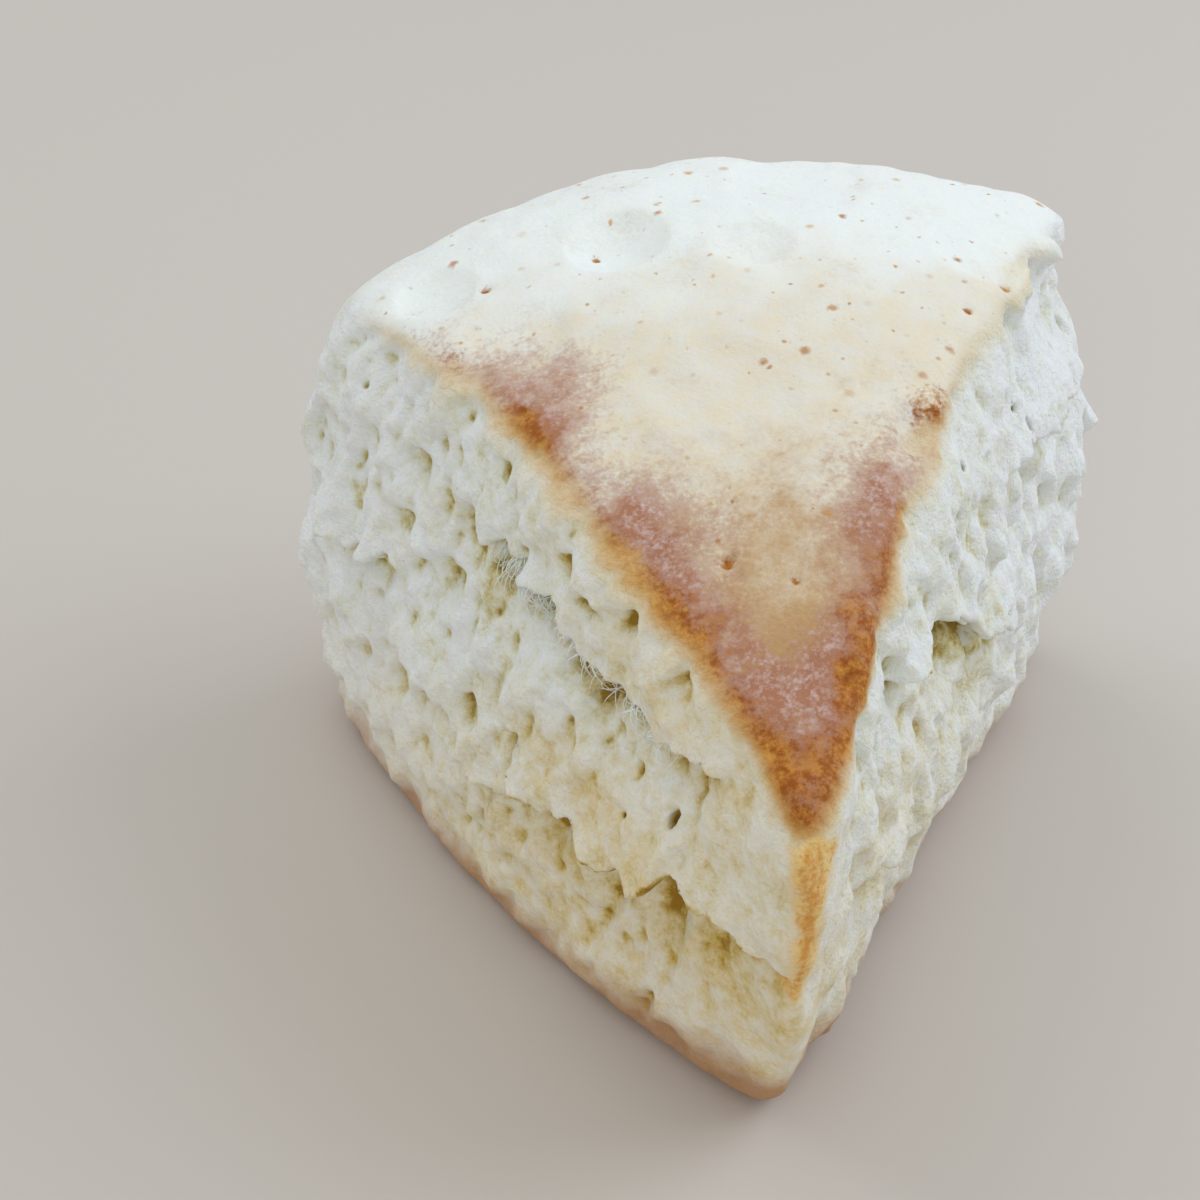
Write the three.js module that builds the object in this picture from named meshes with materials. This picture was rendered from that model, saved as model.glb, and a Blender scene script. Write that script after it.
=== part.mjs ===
// A wedge of scone, cut from a round of layered dough and baked: a browned crust on top, two torn
// and pored cut walls that meet at the tip, and a round floury rim. It lies flat on its base.
// Millimetres, +Z up. The tip points along -Y and the origin is under the middle of its box.
import * as THREE from "three";

// Driving dimensions. Lengths are in millimetres, slopes in millimetres per millimetre.
const cutLength = 80; // tip to rim, along either cut
const halfAngle = THREE.MathUtils.degToRad(30.5); // between a cut and the wedge's middle line
const rimRadius = 79.6; // the round that the wedge was cut from
const tipHeight = 39.5;
const crustRise = 16.2; // how far the crust climbs from the tip to its highest line
const highestAt = 0.795; // where that line is, as a share of the cut
const rimDroop = 2.3;
const crown = 3.6; // the crust's middle over its two edges
const crossSlope = 0.082; // the right side is a little higher
const tipRound = 5.2;
const leftCornerRound = 10.5;
const rightCornerRound = { wall: 11, crust: 4.5 };
const crustEdgeRound = 5;
const baseEdgeRound = 3.6;
const cutBow = 2.1; // outward curve of a cut, seen from above
const bellyOut = 2.9; // outward curve of a wall, seen from the side
const bellyHeight = 0.47; // share of the height where it is widest
const footIn = 1.4;
const tipLean = -4; // how far the tip's front leans out towards the crust
const cornerNotch = { depth: 2.4, below: 7, tall: 5 }; // the hollow under the crust's right corner
const tearWidth = 1.5; // half the height over which a torn edge turns into the hollow below it
const middleOfBox = { x: 0.22, y: -6.105 }; // from the wedge's own axis and rim centre line
const tipY = -44.4;

// Each wall: how far it falls back at the shoulder, all along and in the middle, and at the foot,
// in the middle and near the tip.
const walls = {
  left: { seed: 3, shoulder: 1.7, shoulderMiddle: 1.5, foot: -3.4, toe: 0 },
  right: { seed: 8, shoulder: -0.4, shoulderMiddle: 4.4, foot: 1.2, toe: 1.3 },
};

// Layers torn at the cuts. A layer hangs over the hollow below its ragged edge, which passes
// through a few [distance from the tip, height] points; proud and hollow are depths at the edge.
const tears = {
  left: [
    {
      edge: [[6, 39.4], [14, 38.6], [24, 39.6], [31, 41.8], [37, 42.4], [46, 41.2]],
      proud: 1.1, hollow: 2.4, above: 5, below: 6,
    },
    {
      edge: [[-3, 25.2], [5, 26.6], [9, 27.2], [13, 24], [19, 22.2], [31, 22.2], [36, 25.5]],
      proud: 1.5, hollow: 2.2, above: 6, below: 5,
    },
    { edge: [[58, 31], [63, 28.4], [69, 28.6], [74, 32]], proud: 0.9, hollow: 1.1, above: 6, below: 5 },
    { edge: [[47, 21], [53, 22], [60, 25.5]], proud: 0.8, hollow: 0.8, above: 4, below: 4 },
    { edge: [[34, 18.4], [42, 16.6], [52, 18]], proud: 0.9, hollow: 0.4, above: 3, below: 4 },
  ],
  right: [
    {
      edge: [[18, 39.6], [24, 39], [31, 38], [36, 33.6], [42, 28.4], [51, 23]],
      proud: 1.1, hollow: 2.2, above: 5, below: 4,
    },
    { edge: [[48, 43], [58, 41.4], [70, 42.5]], proud: 0.8, hollow: 1.2, above: 5, below: 5 },
    { edge: [[8, 24], [20, 22], [30, 19]], proud: 0.8, hollow: 1, above: 5, below: 5 },
  ],
};

// The larger pores: [distance from the tip, height, width, length up the wall, depth].
const pores = {
  left: [
    [27, 37, 4, 3.4, 1.6], [23.5, 33.6, 3.6, 3.6, 1.6], [9, 35, 2.8, 5, 1.8], [18.4, 31.6, 5, 2.8, 1.5],
    [33.7, 25.6, 3.6, 2.8, 2.4], [12.4, 17.6, 4.4, 5.4, 1.8], [29.4, 16, 4, 4.6, 1.5],
    [42, 23.2, 3.8, 3.6, 1.7], [54, 32.6, 3.2, 4.6, 1.9], [53, 37, 3.2, 2.8, 1.8],
    [56.4, 41, 3.4, 5.2, 1.6], [36.2, 43.8, 3, 3.8, 1.6], [25.4, 45, 5, 2.8, 1.5],
    [20.6, 46, 4.6, 2.8, 1.2], [48, 33.4, 4.4, 6, 1.6], [39.4, 11, 3.2, 2.8, 1.5],
    [57, 16.4, 3.6, 3.8, 1.3], [34.2, 35.4, 4, 4.6, 1], [13, 43.8, 3.6, 2.6, 1], [52, 45, 3, 3.4, 1.2],
  ],
  right: [
    [42, 37, 3.4, 4.4, 1.6], [47, 26, 3.4, 3.6, 1.6], [44, 20.6, 3.2, 3.4, 1.4], [17, 41.4, 3.4, 3, 1.4],
    [64, 36.4, 3.4, 4.4, 1.5], [62, 30.6, 3.2, 3.4, 1.3], [51, 32, 3.2, 3.8, 1.3],
    [57, 16, 3.2, 5.6, 1.4], [35, 28, 3.2, 3.6, 1.3], [12, 31, 3, 3.8, 1.2], [26, 27, 3.2, 3.4, 1.2],
    [22, 14, 3.4, 3.8, 1.1],
  ],
};

// Dents in the crust: [x, y, radius, depth].
const dents = [
  [-8.5, 16.5, 5, 1.7], [4, 12.5, 4, 1.1], [-26, 15.5, 4, 1.3], [15.5, -13.5, 3, 1.5],
  [-20, 4, 6, 0.6], [10, 24, 7, 0.9], [27, 12, 6, 0.8], [-1, -8, 7, 0.5],
];

// Soft folds that run along the rim.
const rimFolds = [
  { height: 12, depth: 1, half: 1.8 },
  { height: 22, depth: 1.5, half: 2.2 },
  { height: 35, depth: 1.2, half: 1.8 },
];

// How finely the surface is divided.
const columns = 118;
const rowsOn = { crust: 10, shoulder: 5, wall: 24, foot: 3, base: 2 };
const skin = 9; // the surface is looked for from a core this far inside it
const coreFloor = 6;
const coreAxis = { x: 0, y: 8.4 };

const crumbColour = "#efe6c8";
const crumbRoughness = 0.85;

const clamp = THREE.MathUtils.clamp;
const mix = THREE.MathUtils.lerp;
const smoothstep = THREE.MathUtils.smoothstep;

// A repeatable random number from 0 to 1 for each corner of a square grid.
function scatter(i, j, seed) {
  const value = Math.sin(12.9898 * i + 78.233 * j + 37.719 * seed) * 43758.5453;
  return value - Math.floor(value);
}

// Smooth noise from -1 to 1: random values on a square grid, eased between its corners.
function noise(u, v, seed) {
  const i = Math.floor(u);
  const j = Math.floor(v);
  const across = smoothstep(u - i, 0, 1);
  const low = mix(scatter(i, j, seed), scatter(i + 1, j, seed), across);
  const high = mix(scatter(i, j + 1, seed), scatter(i + 1, j + 1, seed), across);
  return 2 * mix(low, high, smoothstep(v - j, 0, 1)) - 1;
}

// The larger of two distances, with the corner between them rounded over a width.
function roundedMax(a, b, width) {
  const near = Math.max(width - Math.abs(a - b), 0) / width;
  return Math.max(a, b) + (near ** 3 * width) / 6;
}

// Height of the crust over a point of the base.
function crustHeight(x, y) {
  const share = (y - tipY) / cutLength;
  const past = share / highestAt - 1;
  const fall = past < 0 ? crustRise * past ** 2 : rimDroop * ((past * highestAt) / (1 - highestAt)) ** 2;
  const across = x / (0.5 * cutLength);
  return tipHeight + crustRise - fall + crown * (1 - 2 * across ** 2) + crossSlope * x;
}

// Distance along a cut from the tip.
function alongCut(x, y) {
  return Math.abs(x) * Math.sin(halfAngle) + (y - tipY) * Math.cos(halfAngle);
}

// How far a wall stands out from its straight cut.
function wallOut(wall, up, share) {
  const belly = 1 - ((up - bellyHeight) / Math.max(bellyHeight, 1 - bellyHeight)) ** 2;
  const foot = (1 - clamp(up, 0, 1)) ** 2;
  const shoulder = clamp(up, 0, 1.3) ** 2;
  const middle = 4 * share * (1 - share);
  const fallBack = wall.shoulder + wall.shoulderMiddle * middle + tipLean * (1 - share) ** 2;
  const nearTip = 6.75 * share * (1 - share) ** 2;
  const footBack = footIn + wall.foot * middle + wall.toe * nearTip;
  return bellyOut * belly - foot * footBack - shoulder * fallBack;
}

// The plain wedge as a field: negative inside, about a distance in millimetres near its surface.
function wedge(x, y, z) {
  const height = crustHeight(x, y);
  const up = z / height;
  const share = clamp(alongCut(x, y) / cutLength, 0, 1);
  const bow = cutBow * 4 * share * (1 - share);
  const depth = (y - tipY) * Math.sin(halfAngle);
  const right = x * Math.cos(halfAngle) - depth - bow - wallOut(walls.right, up, share);
  const left = -x * Math.cos(halfAngle) - depth - bow - wallOut(walls.left, up, share);
  const rim = Math.hypot(x, y - tipY) - rimRadius - rimOut(x, up);
  const belowCrust = (height - z - cornerNotch.below) / cornerNotch.tall;
  const notch = cornerNotch.depth * Math.exp(-(belowCrust ** 2));
  const rightRound = mix(rightCornerRound.wall, rightCornerRound.crust, smoothstep(up, 0.75, 0.95));
  const cornerRound = x < 0 ? leftCornerRound : rightRound;
  const outline = roundedMax(roundedMax(right, left, tipRound), rim, cornerRound);
  const side = roundedMax(outline + notch * smoothstep(x, 25, 36), z - height, crustEdgeRound);
  return roundedMax(side, -z, baseEdgeRound);
}

// How far the rim stands out from its circle: rounder than the cuts, and uneven as pressed dough is.
function rimOut(x, up) {
  const belly = 1 - ((up - bellyHeight) / Math.max(bellyHeight, 1 - bellyHeight)) ** 2;
  const uneven = 0.9 * Math.cos((x + 4) / 9) - 0.5 * smoothstep(x, 6, 26);
  return bellyOut * belly - footIn * (1 - clamp(up, 0, 1)) ** 2 - 2.1 * clamp(up, 0, 1.3) ** 2 + uneven;
}

// Outward direction of the plain wedge's surface.
function outward(p) {
  const step = 0.05;
  const here = wedge(p.x, p.y, p.z);
  return new THREE.Vector3(
    wedge(p.x + step, p.y, p.z) - here,
    wedge(p.x, p.y + step, p.z) - here,
    wedge(p.x, p.y, p.z + step) - here,
  ).normalize();
}

// Height of a torn edge at a distance from the tip: straight runs between its points, eased.
function edgeHeight(edge, s) {
  let k = 0;
  while (k < edge.length - 2 && s > edge[k + 1][0]) k += 1;
  return mix(edge[k][1], edge[k + 1][1], smoothstep(s, edge[k][0], edge[k + 1][0]));
}

// A torn layer: proud above its edge and hollow below it, fading out at both ends.
function tearRelief(tear, s, z) {
  const from = tear.edge[0][0];
  const to = tear.edge[tear.edge.length - 1][0];
  const fade = smoothstep(s, from - 3, from + 3) * (1 - smoothstep(s, to - 3, to + 3));
  const above = z - edgeHeight(tear.edge, s) + 0.6 * noise(s / 3, tear.hollow, 21);
  const lip = tear.proud * Math.exp(-Math.max(above, 0) / tear.above);
  const hollow = -tear.hollow * Math.exp(Math.min(above, 0) / tear.below);
  return fade * mix(hollow, lip, smoothstep(above, -tearWidth, tearWidth));
}

// A round-bottomed hole, zero at its rim.
function bowl(across, up, depth) {
  return -depth * Math.max(1 - across ** 2 - up ** 2, 0) ** 0.7;
}

// Low lumps in the dough at two sizes, on grids turned out of line with the walls.
function lumps(u, v, seed) {
  const across = 0.8 * u + 0.6 * v;
  const up = 0.8 * v - 0.6 * u;
  return 0.8 * noise(across / 6.4, up / 5.2, seed) + 0.6 * noise(up / 3.1, across / 3.7, seed + 5);
}

// What stands out of or into a wall at a distance s from the tip and a height z.
function wallRelief(name, s, z) {
  let relief = lumps(s, z, walls[name].seed);
  for (const tear of tears[name]) relief += tearRelief(tear, s, z);
  for (const [s0, z0, width, length, depth] of pores[name]) {
    relief += bowl((2 * (s - s0)) / width, (2 * (z - z0)) / length, depth);
  }
  return relief;
}

// The rim: a smooth floury roll under the crust, then a few soft folds between the layers.
function rimRelief(x, z) {
  let relief = 0.5 * lumps(x, z, 2);
  for (const fold of rimFolds) {
    const above = z - fold.height - 2.2 * noise(x / 15, fold.height, 4);
    const uneven = 0.6 + 0.4 * noise(x / 9, fold.height, 6);
    relief -= fold.depth * Math.exp(-((above / fold.half) ** 2)) * uneven;
  }
  return relief;
}

function crustRelief(x, y) {
  let relief = 0.35 * noise(x / 8, y / 8, 11) + 0.2 * noise(x / 4, y / 4, 12);
  for (const [x0, y0, radius, depth] of dents) {
    relief += bowl((x - x0) / radius, (y - y0) / radius, depth);
  }
  return relief;
}

// Relief at a point of the plain wedge, which is chosen by the way its surface faces there.
function reliefAt(p, facing) {
  const s = alongCut(p.x, p.y);
  const towards = (x, y) => smoothstep(facing.x * x + facing.y * y, 0.45, 0.85);
  const cos = Math.cos(halfAngle);
  const sin = Math.sin(halfAngle);
  const onCrust = smoothstep(facing.z, 0.55, 0.85);
  let relief = onCrust * crustRelief(p.x, p.y);
  relief += towards(-cos, -sin) * wallRelief("left", s, p.z);
  relief += towards(cos, -sin) * wallRelief("right", s, p.z);
  relief += towards(0, 1) * rimRelief(p.x, p.z);
  return relief * smoothstep(p.z, 0.5, 4);
}

// Distance from one point along a direction to the plain wedge's surface, by halving.
function reach(from, direction) {
  let inside = 0;
  let outside = 60;
  for (let k = 0; k < 40; k += 1) {
    const middle = (inside + outside) / 2;
    const p = from.clone().addScaledVector(direction, middle);
    if (wedge(p.x, p.y, p.z) < 0) inside = middle;
    else outside = middle;
  }
  return inside;
}

// Bearings from the core's axis, spaced evenly along the wedge's outline at half height.
function evenBearings(count) {
  const samples = 1440;
  const ring = Array.from({ length: samples + 1 }, (_, k) => {
    const bearing = Math.PI + (2 * Math.PI * k) / samples;
    const way = new THREE.Vector3(Math.cos(bearing), Math.sin(bearing), 0);
    const from = new THREE.Vector3(coreAxis.x, coreAxis.y, 0.5 * tipHeight);
    return { bearing, point: from.clone().addScaledVector(way, reach(from, way)) };
  });
  const lengths = [0];
  for (let k = 1; k <= samples; k += 1) {
    lengths.push(lengths[k - 1] + ring[k].point.distanceTo(ring[k - 1].point));
  }
  return Array.from({ length: count }, (_, column) => {
    const wanted = (lengths[samples] * column) / count;
    const next = lengths.findIndex((length) => length > wanted);
    const part = (wanted - lengths[next - 1]) / (lengths[next] - lengths[next - 1]);
    return mix(ring[next - 1].bearing, ring[next].bearing, part);
  });
}

// Where each row starts in the core and which way it looks, from the crust's middle to the base's:
// out is the share of the way to the core's side, up of the way to its top, tilt the way it looks.
function rowStations() {
  const rightAngle = Math.PI / 2;
  const run = (count, station) => Array.from({ length: count }, (_, k) => station(k / count));
  return [
    ...run(rowsOn.crust, (t) => ({ out: t, up: 1, tilt: rightAngle })),
    ...run(rowsOn.shoulder, (t) => ({ out: 1, up: 1, tilt: rightAngle * (1 - t) })),
    ...run(rowsOn.wall, (t) => ({ out: 1, up: 1 - t, tilt: 0 })),
    ...run(rowsOn.foot, (t) => ({ out: 1, up: 0, tilt: -rightAngle * t })),
    ...run(rowsOn.base, (t) => ({ out: 1 - t, up: 0, tilt: -rightAngle })),
    { out: 0, up: 0, tilt: -rightAngle },
  ];
}

// The surface point that a row and a bearing see from the core.
function surfacePoint(station, bearing) {
  const level = new THREE.Vector3(Math.cos(bearing), Math.sin(bearing), 0);
  const from = new THREE.Vector3(coreAxis.x, coreAxis.y, 0.5 * tipHeight);
  const side = reach(from, level) - skin;
  from.addScaledVector(level, side * station.out);
  const edge = level.clone().multiplyScalar(side).add(new THREE.Vector3(coreAxis.x, coreAxis.y, 0));
  const top = mix(crustHeight(from.x, from.y), crustHeight(edge.x, edge.y), station.out) - skin;
  from.z = mix(coreFloor, top, station.up);
  const look = level.multiplyScalar(Math.cos(station.tilt));
  look.z = Math.sin(station.tilt);
  const p = from.clone().addScaledVector(look, reach(from, look));
  const facing = outward(p);
  p.addScaledVector(facing, reliefAt(p, facing));
  if (station.tilt === -Math.PI / 2) p.z = 0;
  return p;
}

// A ball whose rows and columns are drawn onto the scone's surface.
function sconeGeometry() {
  const stations = rowStations();
  const bearings = evenBearings(columns);
  const geometry = new THREE.SphereGeometry(1, columns, stations.length - 1);
  const position = geometry.getAttribute("position");
  for (let row = 0; row < stations.length; row += 1) {
    for (let column = 0; column <= columns; column += 1) {
      const p = surfacePoint(stations[row], bearings[column % columns]);
      position.setXYZ(row * (columns + 1) + column, p.x - middleOfBox.x, p.y - middleOfBox.y, p.z);
    }
  }
  geometry.computeVertexNormals();
  return geometry;
}

const crumb = new THREE.MeshStandardMaterial({
  color: crumbColour,
  roughness: crumbRoughness,
  metalness: 0,
});
const scone = new THREE.Mesh(sconeGeometry(), crumb);
scone.name = "scone";

const part = new THREE.Group();
part.add(scone);
export default part;
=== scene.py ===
"""A wedge of scone: browned crust on top, two torn and pored cut walls that meet at the tip."""

import math

import bpy
import numpy as np
from mathutils import Matrix, Vector


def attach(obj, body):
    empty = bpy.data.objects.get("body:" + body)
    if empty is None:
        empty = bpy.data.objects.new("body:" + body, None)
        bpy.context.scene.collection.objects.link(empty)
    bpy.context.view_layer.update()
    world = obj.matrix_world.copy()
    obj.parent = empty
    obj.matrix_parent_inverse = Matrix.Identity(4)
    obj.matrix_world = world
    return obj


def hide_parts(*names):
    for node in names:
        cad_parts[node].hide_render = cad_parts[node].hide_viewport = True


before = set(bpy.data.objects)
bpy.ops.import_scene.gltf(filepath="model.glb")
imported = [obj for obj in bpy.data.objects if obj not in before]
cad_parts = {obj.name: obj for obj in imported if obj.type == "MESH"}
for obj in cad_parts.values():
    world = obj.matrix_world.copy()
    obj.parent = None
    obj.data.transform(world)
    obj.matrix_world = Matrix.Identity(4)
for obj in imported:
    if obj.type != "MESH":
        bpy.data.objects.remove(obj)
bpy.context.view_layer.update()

# Camera: a portrait lens looks down on the tip at the angle of the photograph. The wedge's own
# axes are in millimetres, with the round's middle line along Y; the frame's origin is under the
# middle of the scone's box.
mm = 0.001
middle_of_box = np.array([0.22, -6.105, 0.0])
camera_azimuth = math.radians(-4.65)
camera_elevation = math.radians(37.4)
camera_roll = math.radians(-0.5)
camera_distance = 253.6
camera_target = np.array([-11.8, 0.0, 27.6]) - middle_of_box

back = Vector((
    math.sin(camera_azimuth) * math.cos(camera_elevation),
    -math.cos(camera_azimuth) * math.cos(camera_elevation),
    math.sin(camera_elevation),
))
level = (-back).cross(Vector((0, 0, 1))).normalized()
upright = level.cross(-back)
right = math.cos(camera_roll) * level + math.sin(camera_roll) * upright
above = right.cross(-back)
camera_data = bpy.data.cameras.new("camera")
camera_data.lens = 78
camera_data.sensor_width = 36
camera = bpy.data.objects.new("camera", camera_data)
camera.matrix_world = Matrix.Translation(
    (Vector(camera_target) + back * camera_distance) * mm
) @ Matrix((right, above, back)).transposed().to_4x4()
bpy.context.scene.collection.objects.link(camera)
bpy.context.scene.camera = camera


# Floor: a matt sheet of pale board under the scone, large enough to fill every view. It is stage,
# not part of the scone: one square, made after the helpers that every piece uses.
def linear(hex_colour):
    """sRGB hex text to a linear colour with alpha 1."""
    srgb = np.array([int(hex_colour[i:i + 2], 16) for i in (1, 3, 5)]) / 255
    rgb = np.where(srgb <= 0.04045, srgb / 12.92, ((srgb + 0.055) / 1.055) ** 2.4)
    return (*rgb.tolist(), 1.0)


def add_node(tree, kind, inputs=None, **settings):
    """Adds a node; an input's value is a constant or another node's output socket."""
    node = tree.nodes.new(kind)
    for name, value in settings.items():
        setattr(node, name, value)
    for key, value in (inputs or {}).items():
        if isinstance(value, bpy.types.NodeSocket):
            tree.links.new(value, node.inputs[key])
        else:
            node.inputs[key].default_value = value
    return node


def new_material(name):
    """An empty node material: its tree and its Principled shader."""
    material = bpy.data.materials.new(name)
    material.use_nodes = True
    return material, material.node_tree, material.node_tree.nodes["Principled BSDF"]


def mesh_object(name, points, faces, material):
    """A smooth-shaded mesh in the scene, from points in metres."""
    mesh = bpy.data.meshes.new(name)
    mesh.from_pydata(points.tolist(), [], faces.tolist())
    mesh.shade_smooth()
    mesh.materials.append(material)
    piece = bpy.data.objects.new(name, mesh)
    bpy.context.scene.collection.objects.link(piece)
    return piece


board, _, board_shader = new_material("matt_board")
board_shader.inputs["Base Color"].default_value = linear("#ccc5bc")
board_shader.inputs["Roughness"].default_value = 0.9
floor_half = 3.0
floor_corners = np.array([[-1, -1, 0], [1, -1, 0], [1, 1, 0], [-1, 1, 0]]) * floor_half
floor = mesh_object("floor", floor_corners, np.array([[0, 1, 2, 3]]), board)


# Light: a bright, nearly white room, one large cool window to the right, a softer skylight behind
# and a weak warm fill in front.
def area_light(name, place, size, power, colour):
    """A square lamp at a place in millimetres, aimed at the scone's middle."""
    data = bpy.data.lights.new(name, "AREA")
    data.size = size * mm
    data.energy = power
    data.color = linear(colour)[:3]
    lamp = bpy.data.objects.new(name, data)
    lamp.location = Vector(place) * mm
    lamp.rotation_mode = "QUATERNION"
    lamp.rotation_quaternion = (Vector((0, 0, 25 * mm)) - lamp.location).to_track_quat("-Z", "Y")
    bpy.context.scene.collection.objects.link(lamp)


room = bpy.data.worlds.new("room")
room.use_nodes = True
room.node_tree.nodes["Background"].inputs["Color"].default_value = linear("#f3f3f2")
room.node_tree.nodes["Background"].inputs["Strength"].default_value = 0.58
bpy.context.scene.world = room
bpy.context.scene.view_settings.view_transform = "Standard"
area_light("window", (360, 40, 360), 380, 1.15, "#e9f1ff")
area_light("skylight", (-240, 240, 460), 420, 0.8, "#eff5ff")
area_light("fill", (-220, -480, 240), 400, 0.5, "#fffaf4")


# Scone: one piece of layered dough, cut as a wedge from a round and baked: browned towards the tip,
# floury towards the rim, its walls torn open along the layers as it rose. It is the zero surface of
# a field on a grid, because layers hang over and pores undercut. Lengths are in millimetres.
cut_length = 80
half_angle = math.radians(30.5)
rim_radius = 79.6
tip_y = -44.4
tip_height = 39.5
crust_rise = 16.2
highest_at = 0.795
rim_droop = 2.3
crown = 3.6
cross_slope = 0.082
tip_round = 5.2
left_corner_round = 10.5
right_corner_round = {"wall": 11, "crust": 4.5}
crust_edge_round = 5
base_edge_round = 3.6
cut_bow = 2.1
belly_out = 2.9
belly_height = 0.47
foot_in = 1.4
tip_lean = -4
corner_notch = {"depth": 2.4, "below": 7, "tall": 5}
walls = {
    "left": {"way": -1, "seed": 3, "open": 1.0,
             "shoulder": 1.7, "shoulder_middle": 1.5, "foot": -3.4, "toe": 0},
    "right": {"way": 1, "seed": 8, "open": 0.8,
              "shoulder": -0.4, "shoulder_middle": 4.4, "foot": 1.2, "toe": 1.3},
}

# Torn layers: the points [distance from the tip, height] of a ragged edge, how proud the layer
# hangs and how hollow it is below, and the heights over which both fade.
tears = {
    "left": [
        ([[6, 39.4], [14, 38.6], [24, 39.6], [31, 41.8], [37, 42.4], [46, 41.2]], 0.6, 1.3, 5, 6),
        ([[-3, 25.2], [5, 26.6], [9, 27.2], [13, 24], [19, 22.2], [31, 22.2], [36, 25.5]],
         1.5, 2.2, 6, 5),
        ([[58, 31], [63, 28.4], [69, 28.6], [74, 32]], 0.9, 1.1, 6, 5),
        ([[47, 21], [53, 22], [60, 25.5]], 0.8, 0.8, 4, 4),
        ([[34, 18.4], [42, 16.6], [52, 18]], 0.9, 0.4, 3, 4),
    ],
    "right": [
        ([[18, 39.6], [24, 39], [31, 38], [36, 33.6], [42, 28.4], [51, 23]], 1.1, 2.2, 5, 4),
        ([[48, 43], [58, 41.4], [70, 42.5]], 0.8, 1.2, 5, 5),
        ([[8, 24], [20, 22], [30, 19]], 0.8, 1.0, 5, 5),
    ],
}
# Larger pores: distance from the tip, height, width, length up the wall, depth.
pores = {
    "left": [
        [27, 37, 4, 3.4, 1.6], [23.5, 33.6, 3.6, 3.6, 1.6], [9, 35, 2.8, 5, 1.8],
        [18.4, 31.6, 5, 2.8, 1.5], [33.7, 25.6, 3.6, 2.8, 2.4], [12.4, 17.6, 4.4, 5.4, 1.8],
        [29.4, 16, 4, 4.6, 1.5], [42, 23.2, 3.8, 3.6, 1.7], [54, 32.6, 3.2, 4.6, 1.9],
        [53, 37, 3.2, 2.8, 1.8], [56.4, 41, 3.4, 5.2, 1.6], [36.2, 43.8, 3, 3.8, 1.6],
        [25.4, 45, 5, 2.8, 1.5], [20.6, 46, 4.6, 2.8, 1.2], [48, 33.4, 4.4, 6, 1.6],
        [39.4, 11, 3.2, 2.8, 1.5], [57, 16.4, 3.6, 3.8, 1.3], [34.2, 35.4, 4, 4.6, 1],
        [13, 43.8, 3.6, 2.6, 1], [52, 45, 3, 3.4, 1.2], [32.2, 38.6, 3, 2.4, 2.4],
        [27.8, 36.1, 2.8, 3.4, 2.6], [24, 35, 2.2, 2.6, 2.4], [20.9, 33, 2.2, 2.8, 2.4],
        [12.7, 37.4, 1.7, 2.4, 1.8], [36, 37.4, 4, 3.4, 2.2], [17, 36, 2.2, 2.8, 2],
    ],
    "right": [
        [42, 37, 3.4, 4.4, 1.6], [47, 26, 3.4, 3.6, 1.6], [44, 20.6, 3.2, 3.4, 1.4],
        [17, 41.4, 3.4, 3, 1.4], [64, 36.4, 3.4, 4.4, 1.5], [62, 30.6, 3.2, 3.4, 1.3],
        [51, 32, 3.2, 3.8, 1.3], [57, 16, 3.2, 5.6, 1.4], [35, 28, 3.2, 3.6, 1.3],
        [12, 31, 3, 3.8, 1.2], [26, 27, 3.2, 3.4, 1.2], [22, 14, 3.4, 3.8, 1.1],
    ],
}
# Dents in the crust: place, radius, depth. Pin holes: place, radius. Folds: height, depth, width.
dents = [
    [-8.5, 16.5, 5, 1.7], [4, 12.5, 4, 1.1], [-26, 15.5, 4, 1.3], [15.5, -13.5, 3, 1.5],
    [-20, 4, 6, 0.6], [10, 24, 7, 0.9], [27, 12, 6, 0.8], [-1, -8, 7, 0.5],
]
pin_holes = [
    [-3, -25.8, 0.75], [-21.3, 13.8, 0.6], [5.8, -36.7, 0.9], [12.8, -22.5, 0.8], [27, 6.3, 0.6],
    [22.5, 1.5, 0.5], [-10.6, 16.2, 0.5], [-18, -10.6, 0.7], [-19, -5.8, 0.5], [2.4, -28.3, 0.5],
]
rim_folds = [[12, 1, 1.8], [22, 1.5, 2.2], [35, 1.2, 1.8]]
tear_sharpness = 0.35
lip_hang = 0.45
# The grids: steps of the relief maps and of the field, how far from the surface relief reaches, and
# the lowest and highest corners of the maps and of the field.
map_step = 0.2
voxel = 0.36
band = 6.0
wall_map = (-10, -4), (94, 66)
rim_map = (-46, -2), (46, 64)
crust_map = (-46, -52), (46, 42)
field_box = [-44.6, -53.0, -1.2], [45.0, 40.5, 62.5]
most_triangles = 196000
# Large uneven factors, by which a sine's fraction looks random from one grid place to the next.
scatter = 12.9898, 78.233, 37.719, 43758.5453
noise_cube = 32


def ease(value, low, high):
    """0 below low, 1 above high, and 3t^2 - 2t^3 between them."""
    t = np.clip((value - low) / (high - low), 0, 1)
    return t * t * (3 - 2 * t)


def mix(a, b, share):
    """a where share is 0, b where it is 1."""
    return a + (b - a) * share


def follow(line, s):
    """A line's value at s, straight between its [s, value] points."""
    return np.interp(s, *np.array(line, float).T)


def rounded_max(a, b, width):
    """The larger of two distances, plus width/6 of the cube of their nearness where they meet."""
    near = np.maximum(width - np.abs(a - b), 0) / width
    return np.maximum(a, b) + near ** 3 * (width / 6)


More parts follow.
